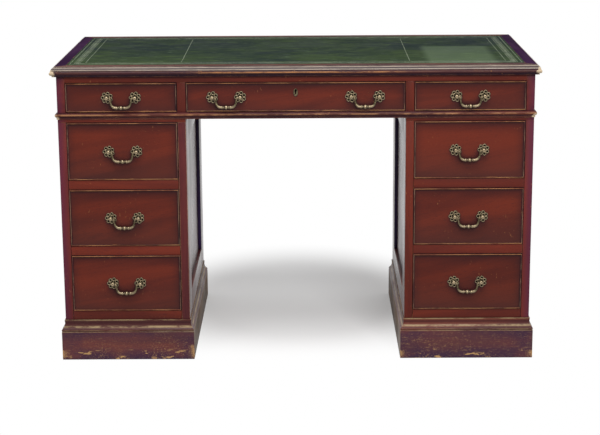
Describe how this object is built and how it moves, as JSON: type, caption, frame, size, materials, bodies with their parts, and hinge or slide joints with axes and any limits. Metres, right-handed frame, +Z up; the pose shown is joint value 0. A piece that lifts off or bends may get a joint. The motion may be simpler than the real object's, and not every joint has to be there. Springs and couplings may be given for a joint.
{
  "type": "pedestal desk",
  "caption": "Twin-pedestal writing desk in dark red wood with a leather-inset top, cockbeaded drawers on runners, swinging brass bail pulls, moulded plinths and an open kneehole.",
  "frame": {"origin": "on the floor, under the middle of the desk", "axes": "+X to the right seen from the front, -Y out of the drawer fronts, +Z up"},
  "size_m": [1.22, 0.61, 0.76],
  "materials": {
    "mahogany": "polished, worn",
    "plain_wood": "bare",
    "leather": "waxed, tooled",
    "brass": "antique",
    "steel": "plain"
  },
  "bodies": {
    "carcass": {"top_board": "mahogany", "leather_inset": "leather", "frieze_ends": "mahogany", "frieze_back": "mahogany", "frieze_dividers": "mahogany", "frieze_runners": "plain_wood", "frieze_bottom_rail": "mahogany", "frieze_top_rail": "mahogany", "waist_moulding": "mahogany", "pedestal_tops": "mahogany", "locating_blocks": "plain_wood", "left_plinth": "mahogany", "right_plinth": "mahogany", "left_pedestal_frames": "mahogany", "left_pedestal_panels": "mahogany", "left_drawer_rails": "mahogany", "right_pedestal_frames": "mahogany", "right_pedestal_panels": "mahogany", "right_drawer_rails": "mahogany", "pedestal_runners": "plain_wood"},
    "drawer_left_bottom": {"drawer_front_left_bottom": "mahogany", "drawer_box_left_bottom": "plain_wood", "pull_mounts_left_bottom": "brass"},
    "bail_left_bottom": {"bail_left_bottom": "brass"},
    "drawer_left_middle": {"drawer_front_left_middle": "mahogany", "drawer_box_left_middle": "plain_wood", "pull_mounts_left_middle": "brass"},
    "bail_left_middle": {"bail_left_middle": "brass"},
    "drawer_left_top": {"drawer_front_left_top": "mahogany", "drawer_box_left_top": "plain_wood", "pull_mounts_left_top": "brass"},
    "bail_left_top": {"bail_left_top": "brass"},
    "drawer_frieze_left": {"drawer_front_frieze_left": "mahogany", "drawer_box_frieze_left": "plain_wood", "pull_mounts_frieze_left": "brass"},
    "bail_frieze_left": {"bail_frieze_left": "brass"},
    "drawer_right_bottom": {"drawer_front_right_bottom": "mahogany", "drawer_box_right_bottom": "plain_wood", "pull_mounts_right_bottom": "brass"},
    "bail_right_bottom": {"bail_right_bottom": "brass"},
    "drawer_right_middle": {"drawer_front_right_middle": "mahogany", "drawer_box_right_middle": "plain_wood", "pull_mounts_right_middle": "brass"},
    "bail_right_middle": {"bail_right_middle": "brass"},
    "drawer_right_top": {"drawer_front_right_top": "mahogany", "drawer_box_right_top": "plain_wood", "pull_mounts_right_top": "brass"},
    "bail_right_top": {"bail_right_top": "brass"},
    "drawer_frieze_right": {"drawer_front_frieze_right": "mahogany", "drawer_box_frieze_right": "plain_wood", "pull_mounts_frieze_right": "brass"},
    "bail_frieze_right": {"bail_frieze_right": "brass"},
    "drawer_frieze_centre": {"drawer_front_frieze_centre": "mahogany", "drawer_box_frieze_centre": "plain_wood", "pull_mounts_frieze_centre": "brass", "lock_case": "steel", "escutcheon": "brass"},
    "bail_centre_left": {"bail_centre_left": "brass"},
    "bail_centre_right": {"bail_centre_right": "brass"},
    "lock_bolt": {"lock_bolt": "steel"}
  },
  "joints": [
    {"name": "drawer_left_bottom_slide", "type": "slide", "parent": "carcass", "child": "drawer_left_bottom", "axis": [0, -1, 0], "range_m": [0, 0.38]},
    {"name": "bail_left_bottom_swing", "type": "hinge", "parent": "drawer_left_bottom", "child": "bail_left_bottom", "pos_m": [-0.435, -0.3003, 0.202], "axis": [-1, 0, 0], "range_deg": [-10, 110]},
    {"name": "drawer_left_middle_slide", "type": "slide", "parent": "carcass", "child": "drawer_left_middle", "axis": [0, -1, 0], "range_m": [0, 0.38]},
    {"name": "bail_left_middle_swing", "type": "hinge", "parent": "drawer_left_middle", "child": "bail_left_middle", "pos_m": [-0.435, -0.3003, 0.3735], "axis": [-1, 0, 0], "range_deg": [-10, 110]},
    {"name": "drawer_left_top_slide", "type": "slide", "parent": "carcass", "child": "drawer_left_top", "axis": [0, -1, 0], "range_m": [0, 0.38]},
    {"name": "bail_left_top_swing", "type": "hinge", "parent": "drawer_left_top", "child": "bail_left_top", "pos_m": [-0.435, -0.3003, 0.545], "axis": [-1, 0, 0], "range_deg": [-10, 110]},
    {"name": "drawer_frieze_left_slide", "type": "slide", "parent": "carcass", "child": "drawer_frieze_left", "axis": [0, -1, 0], "range_m": [0, 0.38]},
    {"name": "bail_frieze_left_swing", "type": "hinge", "parent": "drawer_frieze_left", "child": "bail_frieze_left", "pos_m": [-0.435, -0.3003, 0.6815], "axis": [-1, 0, 0], "range_deg": [-10, 110]},
    {"name": "drawer_right_bottom_slide", "type": "slide", "parent": "carcass", "child": "drawer_right_bottom", "axis": [0, -1, 0], "range_m": [0, 0.38]},
    {"name": "bail_right_bottom_swing", "type": "hinge", "parent": "drawer_right_bottom", "child": "bail_right_bottom", "pos_m": [0.435, -0.3003, 0.202], "axis": [-1, 0, 0], "range_deg": [-10, 110]},
    {"name": "drawer_right_middle_slide", "type": "slide", "parent": "carcass", "child": "drawer_right_middle", "axis": [0, -1, 0], "range_m": [0, 0.38]},
    {"name": "bail_right_middle_swing", "type": "hinge", "parent": "drawer_right_middle", "child": "bail_right_middle", "pos_m": [0.435, -0.3003, 0.3735], "axis": [-1, 0, 0], "range_deg": [-10, 110]},
    {"name": "drawer_right_top_slide", "type": "slide", "parent": "carcass", "child": "drawer_right_top", "axis": [0, -1, 0], "range_m": [0, 0.38]},
    {"name": "bail_right_top_swing", "type": "hinge", "parent": "drawer_right_top", "child": "bail_right_top", "pos_m": [0.435, -0.3003, 0.545], "axis": [-1, 0, 0], "range_deg": [-10, 110]},
    {"name": "drawer_frieze_right_slide", "type": "slide", "parent": "carcass", "child": "drawer_frieze_right", "axis": [0, -1, 0], "range_m": [0, 0.38]},
    {"name": "bail_frieze_right_swing", "type": "hinge", "parent": "drawer_frieze_right", "child": "bail_frieze_right", "pos_m": [0.435, -0.3003, 0.6815], "axis": [-1, 0, 0], "range_deg": [-10, 110]},
    {"name": "drawer_frieze_centre_slide", "type": "slide", "parent": "carcass", "child": "drawer_frieze_centre", "axis": [0, -1, 0], "range_m": [0, 0.38]},
    {"name": "bail_centre_left_swing", "type": "hinge", "parent": "drawer_frieze_centre", "child": "bail_centre_left", "pos_m": [-0.173, -0.3003, 0.6815], "axis": [-1, 0, 0], "range_deg": [-10, 110]},
    {"name": "bail_centre_right_swing", "type": "hinge", "parent": "drawer_frieze_centre", "child": "bail_centre_right", "pos_m": [0.173, -0.3003, 0.6815], "axis": [-1, 0, 0], "range_deg": [-10, 110]},
    {"name": "lock_bolt_throw", "type": "slide", "parent": "drawer_frieze_centre", "child": "lock_bolt", "axis": [0, 0, 1], "range_m": [0, 0.007]}
  ]
}
